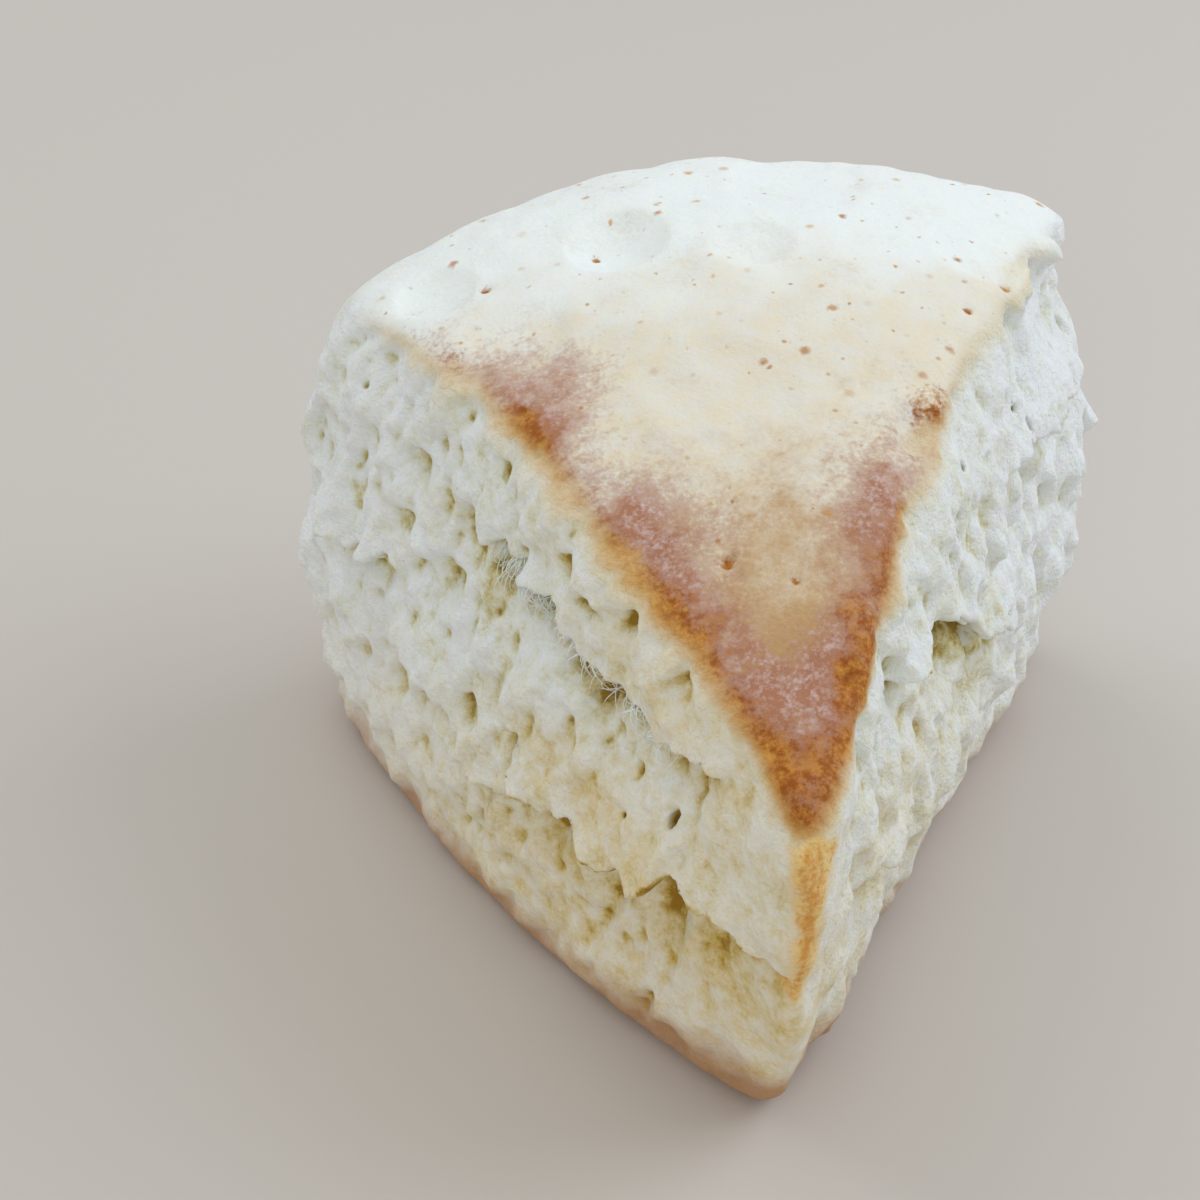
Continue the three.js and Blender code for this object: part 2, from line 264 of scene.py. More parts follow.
def noise(u, v, seed):
    """Smooth noise from -1 to 1: repeatable random values on a square grid, eased between them."""
    i, j = np.floor(u).astype(int), np.floor(v).astype(int)
    low_i, low_j = i.min(), j.min()
    rows, columns = np.meshgrid(
        np.arange(low_i, i.max() + 2), np.arange(low_j, j.max() + 2), indexing="ij"
    )
    by_row, by_column, by_seed, spread = scatter
    table = np.sin(by_row * rows + by_column * columns + by_seed * seed) * spread
    table -= np.floor(table)
    i, j, across, up = i - low_i, j - low_j, ease(u - i, 0, 1), ease(v - j, 0, 1)
    low = mix(table[i, j], table[i + 1, j], across)
    high = mix(table[i, j + 1], table[i + 1, j + 1], across)
    return 2 * mix(low, high, up) - 1


def between_corners(values, low, high, part):
    """Values inside a grid's cells: a mix of their eight corners, low to high, by part."""
    (i, j, k), (i2, j2, k2), (a, b, c) = low, high, part
    near = mix(mix(values[i, j, k], values[i2, j, k], a),
               mix(values[i, j2, k], values[i2, j2, k], a), b)
    far = mix(mix(values[i, j, k2], values[i2, j, k2], a),
              mix(values[i, j2, k2], values[i2, j2, k2], a), b)
    return mix(near, far, c)


def crumb_noise(points, seed):
    """Smooth noise from -1 to 1 in space: a cube of random values, repeated."""
    table = np.random.default_rng(seed).uniform(-1, 1, (noise_cube,) * 3).astype(np.float32)
    whole = np.floor(points)
    part = (points - whole).astype(np.float32)
    part = part * part * (3 - 2 * part)
    corner = whole.astype(np.int64).T
    return between_corners(table, corner % noise_cube, (corner + 1) % noise_cube, part.T)


def crust_height(x, y):
    """Height of the crust: an arch from tip to rim, crowned across and tilted a little."""
    share = (y - tip_y) / cut_length
    past = share / highest_at - 1
    before = crust_rise * past ** 2
    after = rim_droop * (past * highest_at / (1 - highest_at)) ** 2
    across = x / (0.5 * cut_length)
    return (
        tip_height + crust_rise - np.where(past < 0, before, after)
        + crown * (1 - 2 * across ** 2) + cross_slope * x
    )


def along_cut(x, y):
    """Distance along a cut from the tip."""
    return np.abs(x) * math.sin(half_angle) + (y - tip_y) * math.cos(half_angle)


def belly(up):
    """1 at the widest height, falling off as a parabola."""
    return 1 - ((up - belly_height) / max(belly_height, 1 - belly_height)) ** 2


def wall_out(wall, up, share):
    """How far a wall stands out: its belly, less its foot and its shoulder."""
    foot = (1 - np.clip(up, 0, 1)) ** 2
    shoulder = np.clip(up, 0, 1.3) ** 2
    middle = 4 * share * (1 - share)
    fall_back = wall["shoulder"] + wall["shoulder_middle"] * middle + tip_lean * (1 - share) ** 2
    near_tip = 6.75 * share * (1 - share) ** 2
    foot_back = foot_in + wall["foot"] * middle + wall["toe"] * near_tip
    return belly_out * belly(up) - foot * foot_back - shoulder * fall_back


def rim_out(x, up):
    """How far the rim stands out from its circle, uneven as pressed dough is."""
    uneven = 0.9 * np.cos((x + 4) / 9) - 0.5 * ease(x, 6, 26)
    foot = foot_in * (1 - np.clip(up, 0, 1)) ** 2
    return belly_out * belly(up) - foot - 2.1 * np.clip(up, 0, 1.3) ** 2 + uneven


def wedge(x, y, z):
    """The plain wedge as a field: negative inside, about millimetres near its surface."""
    height = crust_height(x, y)
    up = z / height
    share = np.clip(along_cut(x, y) / cut_length, 0, 1)
    bow = cut_bow * 4 * share * (1 - share)
    depth = (y - tip_y) * math.sin(half_angle)
    cuts = [
        wall["way"] * x * math.cos(half_angle) - depth - bow - wall_out(wall, up, share)
        for wall in walls.values()
    ]
    rim = np.hypot(x, y - tip_y) - rim_radius - rim_out(x, up)
    notch = corner_notch["depth"] * np.exp(
        -(((height - z - corner_notch["below"]) / corner_notch["tall"]) ** 2)
    )
    right_round = mix(right_corner_round["wall"], right_corner_round["crust"], ease(up, 0.75, 0.95))
    corner_round = np.where(x < 0, left_corner_round, right_round)
    outline = rounded_max(rounded_max(cuts[0], cuts[1], tip_round), rim, corner_round)
    side = rounded_max(outline + notch * ease(x, 25, 36), z - height, crust_edge_round)
    return rounded_max(side, -z, base_edge_round)


def lumps(u, v, seed):
    """Low lumps in the dough at two sizes, on grids turned out of line with the walls."""
    across, up = 0.8 * u + 0.6 * v, 0.8 * v - 0.6 * u
    return 0.8 * noise(across / 6.4, up / 5.2, seed) + 0.6 * noise(up / 3.1, across / 3.7, seed + 5)


def bowl(across, up, depth):
    """A round-bottomed hole, zero at its rim."""
    return -depth * np.maximum(1 - across ** 2 - up ** 2, 0) ** 0.7


def tear_relief(tear, s, z):
    """A torn layer: proud above its edge and hollow below it, fading out at both ends."""
    edge, proud, hollow, above_fade, below_fade = tear
    s_edge, z_edge = np.array(edge, float).T
    k = np.clip(np.searchsorted(s_edge, s) - 1, 0, len(s_edge) - 2)
    along = (s - s_edge[k]) / (s_edge[k + 1] - s_edge[k])
    height = mix(z_edge[k], z_edge[k + 1], ease(along, 0, 1))
    fade = ease(s, s_edge[0] - 3, s_edge[0] + 3) * (1 - ease(s, s_edge[-1] - 3, s_edge[-1] + 3))
    above = z - height + 0.6 * noise(s / 3, np.full_like(s, hollow), 21)
    lip = proud * np.exp(-np.maximum(above, 0) / above_fade)
    cave = -hollow * np.exp(np.minimum(above, 0) / below_fade)
    return fade * mix(cave, lip, ease(above, -tear_sharpness, tear_sharpness))


def wall_relief(name, s, z):
    """All that stands out of or into one wall, apart from its torn layers and bubbles: low lumps,
    listed pores and pulled streaks."""
    seed = walls[name]["seed"]
    relief = lumps(s, z, seed)
    for s0, z0, width, length, depth in pores[name]:
        relief += bowl(2 * (s - s0) / width, 2 * (z - z0) / length, depth)
    return relief + 0.35 * noise((s + 0.4 * z) / 1.7, z / 5.5, seed + 10)


def wall_tears(name, s, z):
    """The torn layers of one wall."""
    return sum(tear_relief(tear, s, z) for tear in tears[name])


def rim_relief(x, z):
    """A smooth floury roll under the crust, then a few soft folds between the layers."""
    relief = 0.5 * lumps(x, z, 2)
    for height, depth, half in rim_folds:
        level_at = np.full_like(x, height)
        above_fold = z - height - 2.2 * noise(x / 15, level_at, 4)
        uneven = 0.6 + 0.4 * noise(x / 9, level_at, 6)
        relief -= depth * np.exp(-((above_fold / half) ** 2)) * uneven
    return relief


def crust_relief(x, y):
    """Low swells, a few dents and pin holes in the crust."""
    relief = 0.35 * noise(x / 8, y / 8, 11) + 0.22 * noise(x / 4, y / 4, 12)
    relief += 0.12 * noise(x / 1.9, y / 1.9, 13) + 0.06 * noise(x / 1.1, y / 1.1, 14)
    for x0, y0, radius, depth in dents + [[*hole, 1.6 * hole[2]] for hole in pin_holes]:
        relief += bowl((x - x0) / radius, (y - y0) / radius, depth)
    return relief


def draw_map(relief, low, high):
    """A relief worked out on a grid of places, every map_step millimetres from low to high."""
    axes = [np.arange(low[a], high[a], map_step) for a in (0, 1)]
    return np.array(low), relief(*np.meshgrid(*axes, indexing="ij")).astype(np.float32)


def bubble_map(name, drawn):
    """A wall's map with the hollows of gas bubbles added, one size after another: large shallow
    ones that leave a net of ridges between them, and smaller deeper ones over them."""
    low, relief = drawn
    draw = np.random.default_rng(20 + walls[name]["seed"])
    for sizes in bubble_sizes:
        relief = relief + bubbles(name, draw, relief.shape, low, sizes)
    return low, relief


def bubbles(name, draw, shape, low, sizes):
    """One size of bubbles, from their mean level: at each place the deepest of many bowls at random
    places. They are deep and tall in the open upper crumb, rounder and shallower near the base,
    lean away from the tip and are small under the crust and at the tip."""
    count, narrow, wide, shallow, deep, rounds = sizes
    s = draw.uniform(-3, 88, count)
    z = draw.uniform(1, 60, count)
    lively = ease(z + draw.normal(0, 3, count), 10, 26)
    width = narrow + (wide - narrow) * draw.random(count) ** 2
    line = follow(crust_edges[name], s)
    width *= mix(0.45, 1.0, ease(line - z, 0, 4)) * mix(0.5, 1.0, ease(s, -2, 9))
    tall = mix(draw.uniform(0.9, 1.7, count), draw.uniform(1.2, 2.7, count), lively)
    lean = mix(0.6, 0.25, lively) + draw.normal(0, 0.15, count)
    depth = width * draw.uniform(shallow, deep, count) * mix(0.6, 1.0, lively) * walls[name]["open"]
    depth *= 1 - patches(s, z, smooth_lobes[name])
    bowls = np.zeros(shape, np.float32)
    for k in range(count):
        half = 0.5 * width[k] * np.array([1 + abs(lean[k]) * tall[k], tall[k]])
        middle = np.array([s[k], z[k]])
        first = np.maximum(np.floor((middle - half - low) / map_step).astype(int), 0)
        last = np.ceil((middle + half - low) / map_step).astype(int) + 1
        place = tuple(slice(a, b) for a, b in zip(first, last))
        rows, columns = bowls[place].shape
        s_from = low[0] + map_step * (first[0] + np.arange(rows)[:, None]) - s[k]
        z_from = low[1] + map_step * (first[1] + np.arange(columns)[None, :]) - z[k]
        across = 2 * (s_from + lean[k] * z_from) / width[k]
        up = 2 * z_from / (width[k] * tall[k])
        bowls[place] = np.minimum(bowls[place], bowl(across, up, depth[k]))
    for axis in (0, 1) * rounds:
        bowls = (np.roll(bowls, 1, axis) + 2 * bowls + np.roll(bowls, -1, axis)) / 4
    return bowls - bowls.mean()


def read_map(drawn, u, v):
    """Relief between a map's grid points, in straight lines along both ways."""
    low, heights = drawn
    u = np.clip((u - low[0]) / map_step, 0, heights.shape[0] - 1.001)
    v = np.clip((v - low[1]) / map_step, 0, heights.shape[1] - 1.001)
    i, j = u.astype(np.int32), v.astype(np.int32)
    u, v = (u - i).astype(np.float32), (v - j).astype(np.float32)
    near = mix(heights[i, j], heights[i + 1, j], u)
    return mix(near, mix(heights[i, j + 1], heights[i + 1, j + 1], u), v)


def facing_shares(facing):
    """How much of a place is left wall, right wall, rim and crust, by the way it faces."""
    sin, cos = math.sin(half_angle), math.cos(half_angle)
    ways = {"left": (-cos, -sin, 0), "right": (cos, -sin, 0), "rim": (0, 1, 0)}
    shares = {name: ease(facing @ np.array(way), 0.45, 0.85) for name, way in ways.items()}
    shares["crust"] = ease(facing[:, 2], 0.55, 0.85)
    return shares


def surface_nets(values, origin, step):
    """The zero surface of a field on a grid: each cell that it crosses gets the mean of its edges'
    crossings, and each crossed grid edge a four-sided face around it."""
    inside = values < 0
    corners = [(a, b, c) for a in (0, 1) for b in (0, 1) for c in (0, 1)]
    nx, ny, nz = values.shape
    count = sum(
        inside[a:nx - 1 + a, b:ny - 1 + b, c:nz - 1 + c].astype(np.int8) for a, b, c in corners
    )
    crossed = (count > 0) & (count < 8)
    number = -np.ones(crossed.shape, np.int64)
    cells = np.argwhere(crossed)
    number[crossed] = np.arange(len(cells))
    total = np.zeros((len(cells), 3))
    hits = np.zeros((len(cells), 1))
    for axis in range(3):
        others = [a for a in range(3) if a != axis]
        for first in (0, 1):
            for second in (0, 1):
                start = np.zeros(3, int)
                start[others] = first, second
                end = start.copy()
                end[axis] = 1
                a = values[tuple((cells + start).T)]
                b = values[tuple((cells + end).T)]
                cut = (a < 0) != (b < 0)
                place = np.tile(start.astype(float), (len(cells), 1))
                place[:, axis] = np.where(cut, a / np.where(cut, a - b, 1), 0)
                total += place * cut[:, None]
                hits += cut[:, None]
    points = origin + step * (cells + total / hits)
    faces = []
    for axis in range(3):
        low = [slice(1, -1)] * 3
        high = [slice(1, -1)] * 3
        low[axis], high[axis] = slice(0, -1), slice(1, None)
        from_inside, to_inside = inside[tuple(low)], inside[tuple(high)]
        edges = np.argwhere(from_inside != to_inside)
        outward = from_inside[tuple(edges.T)]
        base = edges + 1
        base[:, axis] -= 1
        one, two = (axis + 1) % 3, (axis + 2) % 3
        ring = []
        for back_one, back_two in ((1, 1), (0, 1), (0, 0), (1, 0)):
            cell = base.copy()
            cell[:, one] -= back_one
            cell[:, two] -= back_two
            ring.append(number[tuple(cell.T)])
        ring = np.stack(ring, 1)
        ring[~outward] = ring[~outward][:, ::-1]
        faces.append(ring)
    return points, np.concatenate(faces)


def wall_point(name, s, z):
    """Points of a wall's plain surface at distances from the tip and heights, found by halving."""
    way = walls[name]["way"]
    out = np.array([way * math.cos(half_angle), -math.sin(half_angle)])
    x = way * s * math.sin(half_angle)
    y = tip_y + s * math.cos(half_angle)
    low, high = np.full_like(s, -12.0), np.full_like(s, 12.0)
    for _ in range(16):
        middle = (low + high) / 2
        solid = wedge(x + out[0] * middle, y + out[1] * middle, z) < 0
        low, high = np.where(solid, middle, low), np.where(solid, high, middle)
    return np.stack([x + out[0] * low, y + out[1] * low, z], 1)


def doubled(values):
    """A grid with a mean put between each pair of neighbours, along all three ways."""
    for axis in range(3):
        values = np.moveaxis(values, axis, 0)
        finer = np.empty((2 * len(values) - 1, *values.shape[1:]), np.float32)
        finer[::2] = values
        finer[1::2] = (values[:-1] + values[1:]) / 2
        values = np.moveaxis(finer, 0, axis)
    return np.ascontiguousarray(values)


def crumb_field():
    """The whole scone on a grid: the plain wedge, its relief, its fine crumb and its open pores,
    then one pass of quarter, half, quarter along each way to take off the grid's steps."""
    low, high = np.array(field_box)
    axes = [np.arange(low[a], high[a], 2 * voxel) for a in range(3)]
    field = doubled(wedge(*np.meshgrid(*axes, indexing="ij", sparse=True)))
    near = np.abs(field) < band
    slopes = np.gradient(field, voxel)
    facing = np.stack([slope[near] for slope in slopes], 1)
    facing /= np.maximum(np.linalg.norm(facing, axis=1, keepdims=True), 1e-6)
    shares = facing_shares(facing)
    points = (low + voxel * np.argwhere(near)).astype(np.float32)
    out = field[near]
    relief = shares["crust"] * read_map(
        draw_map(crust_relief, *crust_map), points[:, 0], points[:, 1]
    )
    on = shares["rim"] > 0
    relief[on] += shares["rim"][on] * read_map(
        draw_map(rim_relief, *rim_map), points[on, 0], points[on, 2]
    )
    for name in walls:
        on = shares[name] > 0
        relief[on] += shares[name][on] * torn_wall(name, points[on], out[on])
    field[near] = out - relief * ease(points[:, 2], 0.5, 4)
    carve_pores(field, low)
    for axis in range(3):
        field = np.moveaxis(field, axis, 0)
        field[1:-1] = (field[:-2] + 2 * field[1:-1] + field[2:]) / 4
        field = np.moveaxis(field, 0, axis)
    return fill_diagonals(field), low


def torn_wall(name, points, out):
    """A wall's whole relief in space: its two maps, read lower down the further in a point is, so
    that bubbles slope up into the wall and torn edges hang over, with ragged edges and fine puffed
    crumb with creases. It goes no deeper than deepest, by its hyperbolic tangent."""
    x, y, z = points.T
    s = along_cut(x, y)
    grain = points * np.array([1, 1, 0.7], np.float32)
    ragged = 0.7 * crumb_noise(grain / 1.9, 31) + 0.45 * crumb_noise(grain / 0.9, 32)
    puff = np.abs(crumb_noise(grain / 2.4, 33)) + 0.5 * np.abs(crumb_noise(grain / 1.2, 34)) - 0.5
    fine = 0.42 * puff + 0.3 * crumb_noise(points / 0.75, 35)
    plain = bubble_map(name, draw_map(lambda u, v: wall_relief(name, u, v), *wall_map))
    torn = draw_map(lambda u, v: wall_tears(name, u, v), *wall_map)
    relief = read_map(plain, s + 0.5 * ragged, z + 0.5 * ragged + bubble_slope * out)
    relief += tear_gain * read_map(torn, s, z + ragged + lip_hang * out)
    relief += mix(0.8, 1.0, ease(z, 12, 26)) * fine
    relief *= mix(0.25, 1.0, ease(crust_line(x, s) - z, -0.8, 1.8)) * mix(0.4, 1.0, ease(s, 0, 9))
    return np.where(relief < 0, deepest * np.tanh(relief / deepest), relief)


def carve_pores(field, low):
    """Hollows out egg-shaped pores with torn rims, taller than wide, scattered over both walls."""
    for name, wall in walls.items():
        draw = np.random.default_rng(70 + wall["seed"])
        s = draw.uniform(10, 76, pore_count)
        z = draw.uniform(8, 54, pore_count)
        size = 0.35 + 0.5 * draw.random(pore_count) ** 2
        size *= mix(0.7, 1.0, ease(z, 14, 28))
        tall = draw.uniform(1.1, 2.0, pore_count)
        deep = draw.uniform(1.0, 1.8, pore_count)
        lean = draw.uniform(-0.4, 0.4, pore_count)
        centres = wall_point(name, s, z)
        keep = z < crust_line(centres[:, 0], s) - 4
        across = np.array([wall["way"] * math.sin(half_angle), math.cos(half_angle), 0])
        out = np.array([wall["way"] * math.cos(half_angle), -math.sin(half_angle), 0])
        for k in np.flatnonzero(keep):
            centre = centres[k] - out * 0.9 * size[k]
            reach = size[k] * max(tall[k], deep[k]) + 1.2
            first = np.floor((centre - reach - low) / voxel).astype(int)
            last = np.minimum(np.ceil((centre + reach - low) / voxel).astype(int) + 1, field.shape)
            place = tuple(slice(a, b) for a, b in zip(first, last))
            axes = [low[a] + voxel * np.arange(first[a], last[a]) - centre[a] for a in range(3)]
            gx, gy, gz = np.meshgrid(*axes, indexing="ij", sparse=True)
            along = gx * across[0] + gy * across[1] + lean[k] * gz
            depth = gx * out[0] + gy * out[1]
            egg = np.sqrt(along ** 2 + (gz / tall[k]) ** 2 + (depth / deep[k]) ** 2) - size[k]
            around = np.stack(np.broadcast_arrays(gx, gy, gz), -1).reshape(-1, 3) + centre
            egg += 0.35 * crumb_noise(around / 0.6, 36).reshape(egg.shape)
            field[place] = rounded_max(field[place], -egg, 0.5)


def fill_diagonals(field):
    """Fills a corner of each grid square whose solid corners lie only across from each other, and
    looks again until none is left, so that no edge of the surface is shared by four faces."""
    for _ in range(12):
        inside = field < 0
        filled = np.zeros_like(inside)
        for axis in range(3):
            squares = np.moveaxis(inside, axis, 2)
            marks = np.moveaxis(filled, axis, 2)
            a, b, c, d = squares[:-1, :-1], squares[1:, 1:], squares[1:, :-1], squares[:-1, 1:]
            marks[1:, :-1] |= a & b & ~c & ~d
            marks[:-1, :-1] |= c & d & ~a & ~b
        if not filled.any():
            break
        field[filled] = -0.05 * voxel
    return field


def largest_shell(points, faces):
    """The surface without its loose scraps: every point takes the lowest number among its face's
    points, again and again, until each shell has one number, and the commonest number stays."""
    label = np.arange(len(points))
    while True:
        lower = label.copy()
        np.minimum.at(lower, faces.ravel(), np.repeat(label[faces].min(1), 4))
        lower = lower[lower]
        if (lower == label).all():
            break
        label = lower
    keep = label == np.bincount(label).argmax()
    number = np.cumsum(keep) - 1
    return points[keep], number[faces[keep[faces[:, 0]]]]


def solid_share(inside, reach):
    """The share of solid in a cube around each grid point, by running sums along each way."""
    share = inside.astype(np.float32)
    half = round(reach / voxel)
    for axis in range(3):
        share = np.moveaxis(share, axis, 0)
        first, last = np.repeat(share[:1], half + 1, 0), np.repeat(share[-1:], half, 0)
        sums = np.cumsum(np.concatenate([first, share, last]), 0)
        share = np.moveaxis((sums[2 * half + 1:] - sums[:-2 * half - 1]) / (2 * half + 1), 0, axis)
    return share


def read_grid(values, low, points):
    """Values between a grid's points, in straight lines along all three ways."""
    place = np.clip((points - low) / voxel, 0, np.array(values.shape) - 1.001)
    corner = np.floor(place).astype(int)
    return between_corners(values, corner.T, corner.T + 1, (place - corner).T)


def crust_line(x, s):
    """Height on a wall where the crust begins, through a few [distance, height] points."""
    return mix(follow(crust_edges["left"], s), follow(crust_edges["right"], s), ease(x, -2, 2))


def from_cut(name, x, y):
    """Distance of a place on the crust from the top edge of one cut."""
    wall = walls[name]
    share = np.clip(along_cut(x, y) / cut_length, 0, 1)
    edge = (y - tip_y) * math.sin(half_angle) + cut_bow * 4 * share * (1 - share)
    return edge + wall_out(wall, 1.0, share) - wall["way"] * x * math.cos(half_angle)


def near_edges(x, y, strengths, reach):
    """Strongest at a cut's edge, falling off inwards as e to the minus square of the distance over
    the reach; strengths are [distance from the tip, strength] points along each cut."""
    s = along_cut(x, y)
    shares = [
        follow(strengths[name], s)
        * np.exp(-(np.maximum(from_cut(name, x, y), 0) / reach) ** 2)
        for name in walls
    ]
    return np.maximum(*shares)


def patches(x, y, places):
    """The sum of soft oval patches: place, half sizes, lean in radians, strength."""
    total = np.zeros_like(x)
    for x0, y0, across, along, lean, strength in places:
        dx, dy = x - x0, y - y0
        u = (dx * math.cos(lean) + dy * math.sin(lean)) / across
        v = (dy * math.cos(lean) - dx * math.sin(lean)) / along
        total += strength * np.exp(-(u ** 2 + v ** 2))
    return total


def skin_masks(points, inside, low):
    """What the finish needs to know at each point of the skin, worked out from its place."""
    x, y, z = points.T
    step = 0.05
    out = wedge(x, y, z)
    facing = np.stack([
        wedge(x + step, y, z) - out, wedge(x, y + step, z) - out, wedge(x, y, z + step) - out,
    ], 1)
    facing /= np.linalg.norm(facing, axis=1, keepdims=True)
    shares = facing_shares(facing)
    s = along_cut(x, y)
    broad = crumb_noise(points / 4.6, 41) + 0.6 * crumb_noise(points / 2.1, 42)
    rise = np.maximum(z - crust_line(x, s), mix(-6.0, 4.0, shares["rim"]) + broad)
    blush = near_edges(x, y, blush_edges, 6.0) + 0.3 * ease(-y, 10, 27) + patches(x, y, blushed)
    blush *= 1 + 0.4 * broad
    brown = near_edges(x, y, brown_edges, 3.1) + patches(x, y, browned)
    brown += patches(x, y, [[x0, y0, 0.9 * size, 0.9 * size, 0, 1.2] for x0, y0, size in pin_holes])
    brown *= 1 + 0.35 * broad
    drip = 2.4 - 0.05 * (40 - z) - np.abs(x - follow(drip_line, z))
    drip += 0.5 * crumb_noise(points / 1.4, 43) + 0.25 * broad
    drip -= 3 * (ease(y, -45.5, -44) + ease(-z, -23, -19) + ease(z, 38.6, 40.4))
    core = ease(drip, 0.5, 2.0) * ease(z, 20.5, 25) * (1 - 0.55 * ease(z, 32, 39))
    streaks = crumb_noise(points * np.array([1, 1, 0.2]) / 0.7, 44)
    # pale lifts the crumb towards its ridge colour everywhere, a little more near the base, and
    # more towards the rim: that last part is painted light on the back of the walls.
    pale = 0.24 + 0.08 * ease(s, 38, 62) + 0.03 * ease(-z, -20, -10)
    torn = np.where(x < 0, wall_tears("left", s, z), wall_tears("right", s, z))
    # hollow: darker and yellower crumb in the recesses under the torn layers' edges, which is
    # painted shade.
    hollow = ease(-torn, 0.1, 1.3) * ease(broad, -0.9, 0.5) * (1 - shares["crust"])
    # The crumb turns warmer towards the base and on the left wall, less on the right wall: partly
    # its own tone, partly a painted warm bounce light where the cool window does not reach.
    warm_tone_and_bounce = 1 - ease(z + 0.4 * (s - 25) + 3 * broad, 2, 46) + 0.2 * broad
    warm_tone_and_bounce += 0.8 * patches(s, z, smooth_lobes["left"][:1])
    warm_tone_and_bounce += patches(s, z, [[14, 43, 17, 5.5, 0.35, 0.65]]) * (1 - ease(x, -3, 3)) * (1 - hollow)
    # How shut in by solid each point is, over three reaches, sets the painted shade in the pores:
    # the more enclosed, the darker and yellower.
    close, wide, recess = (
        read_grid(solid_share(inside, reach), low, points) for reach in pore_shade_reaches
    )
    enclosed_shade = ease(0.5 * close + 0.3 * wide + 0.2 * recess, 0.49, 0.74)
    return {
        "rise": np.clip(rise, -4, 4),
        "tan": ease(4 * broad - y, 3, 38) + 0.45 * shares["rim"] * (1 - ease(z + 3 * broad, 6, 26)),
        "blush": np.clip(blush, 0, 1),
        "brown": np.clip(brown, 0, 1),
        "flour": ease(y + 4 * broad, -2, 16) * mix(0.45, 1.0, ease(z + 3 * broad, 8, 32)),
        "cream": 0.65 * (1 - ease(s, 62, 72)),
        "level": shares["crust"],
        "drip": np.clip(drip, -2, 2),
        "drip_core": -1.65 - 1.0 * core + 0.35 * streaks,
        # Painted shade in the pores and under the torn layers, weaker on the right wall, less the
        # lift of pale.
        "painted_pore_shade": (0.48 * enclosed_shade + 0.46 * hollow) * mix(1.0, 0.7, ease(x, 0, 8)) - pale,
        "warm_tone_and_bounce": np.clip(warm_tone_and_bounce, 0, 1) * mix(1.0, 0.55, ease(x, 0, 8)),
        "foot": 1 - ease(z + 1.2 * broad - 3 * (1 - ease(s, 8, 30)), 0.6, 6.5),
    }


# Bubbles on each wall, by size: how many, the least and most width, the least and most depth for
# their width, and how many times the ridges between them are smoothed.
bubble_sizes = [
    (420, 3.0, 6.5, 0.13, 0.29, 4), (1500, 1.2, 3.0, 0.18, 0.48, 2), (5200, 0.5, 1.2, 0.35, 0.8, 1),
]
bubble_slope = 0.45
# Places on a wall where the dough stayed whole: distance, height, half sizes, lean, how smooth.
smooth_lobes = {
    "left": [[20, 27.5, 13, 4, 0, 0.75], [46, 23.5, 9, 3.6, 0, 0.5], [68, 20, 10, 8, 0, 0.4]],
    "right": [[14, 20, 12, 7, 0, 0.5], [30, 45, 12, 4, 0, 0.4]],
}
pore_count = 26
deepest = 5.5
tear_gain = 1.8
# Reaches over which the finish measures how shut in each point is, for the painted shade in the
# pores, and the strip down the front edge as [height, place across].
pore_shade_reaches = 0.8, 2.0, 4.5
drip_line = [[20, 0.2], [40, 1.6]]
crust_edges = {
    "left": [[-3, 40], [2, 43.2], [12.4, 47.1], [25.5, 50.4], [36, 52.5], [48, 53.4], [60, 52.5],
             [80, 50]],
    "right": [[-3, 40], [0.8, 42], [2.5, 42.3], [10, 44.8], [20, 50.2], [26, 52.6], [34, 53.6],
              [47, 56.4], [80, 56.5]],
}
# How strongly each cut's top edge is browned, as [distance from the tip, strength].
brown_edges = {
    "left": [[0, 0.85], [12, 1.15], [22, 1.1], [33, 0.85], [41, 0.95], [47, 0.6], [55, 0.4],
             [70, 0]],
    "right": [[0, 0.75], [5, 0.6], [10, 0.8], [20, 0.85], [26, 0.45], [31, 0.3], [37, 0.7],
              [43, 0.2], [50, 0]],
}
blush_edges = {
    "left": [[0, 0.9], [40, 0.85], [50, 0.7], [58, 0.3], [72, 0]],
    "right": [[0, 0.8], [22, 0.7], [35, 0.35], [45, 0.1], [60, 0]],
}
# Further browned and blushed patches: place, half sizes, lean in radians, strength.
browned = [
    [1.5, -43.5, 4.5, 4, 0, 0.45], [-18.6, -6.6, 1.4, 2.6, 0.4, 0.4],
    [6.6, -31.6, 1.5, 2.2, 0, 0.35], [-5, -30.5, 3, 5, 0.5, 0.35],
    [16, -11, 1.8, 2.4, 0, 0.25], [-24.5, 4, 1, 1.5, 0, 0.3],
]
blushed = [
    [2.2, -28.5, 3.6, 6.5, 0, -0.35], [-16, -2.5, 5.5, 6, 0.3, 0.5],
    [-9, -23.5, 5, 5.5, 0.4, 0.3], [12.5, -17, 4.5, 6, -0.4, 0.2],
    [3.5, -39.5, 4, 3, 0, 0.25], [3, -9, 9, 4, 0, -0.12],
]

field, grid_low = crumb_field()
skin_points, skin_faces = largest_shell(*surface_nets(field, grid_low, voxel))
material, tree, shader = new_material("baked_dough")
scone = mesh_object("scone_crumb", (skin_points - middle_of_box) * mm, skin_faces, material)
thin = scone.modifiers.new("thin", "DECIMATE")
thin.ratio = most_triangles / (2 * len(skin_faces))
depsgraph = bpy.context.evaluated_depsgraph_get()
thinned = bpy.data.meshes.new_from_object(scone.evaluated_get(depsgraph))
scone.modifiers.clear()
scone.data = thinned
thinned.name = "scone_crumb"

places = np.empty(3 * len(thinned.vertices))
thinned.vertices.foreach_get("co", places)
places = places.reshape(-1, 3) / mm + middle_of_box
masks = skin_masks(places, field < 0, grid_low)
for name, values in masks.items():
    attribute = thinned.attributes.new(name, "FLOAT", "POINT")
    attribute.data.foreach_set("value", values.astype(np.float32))
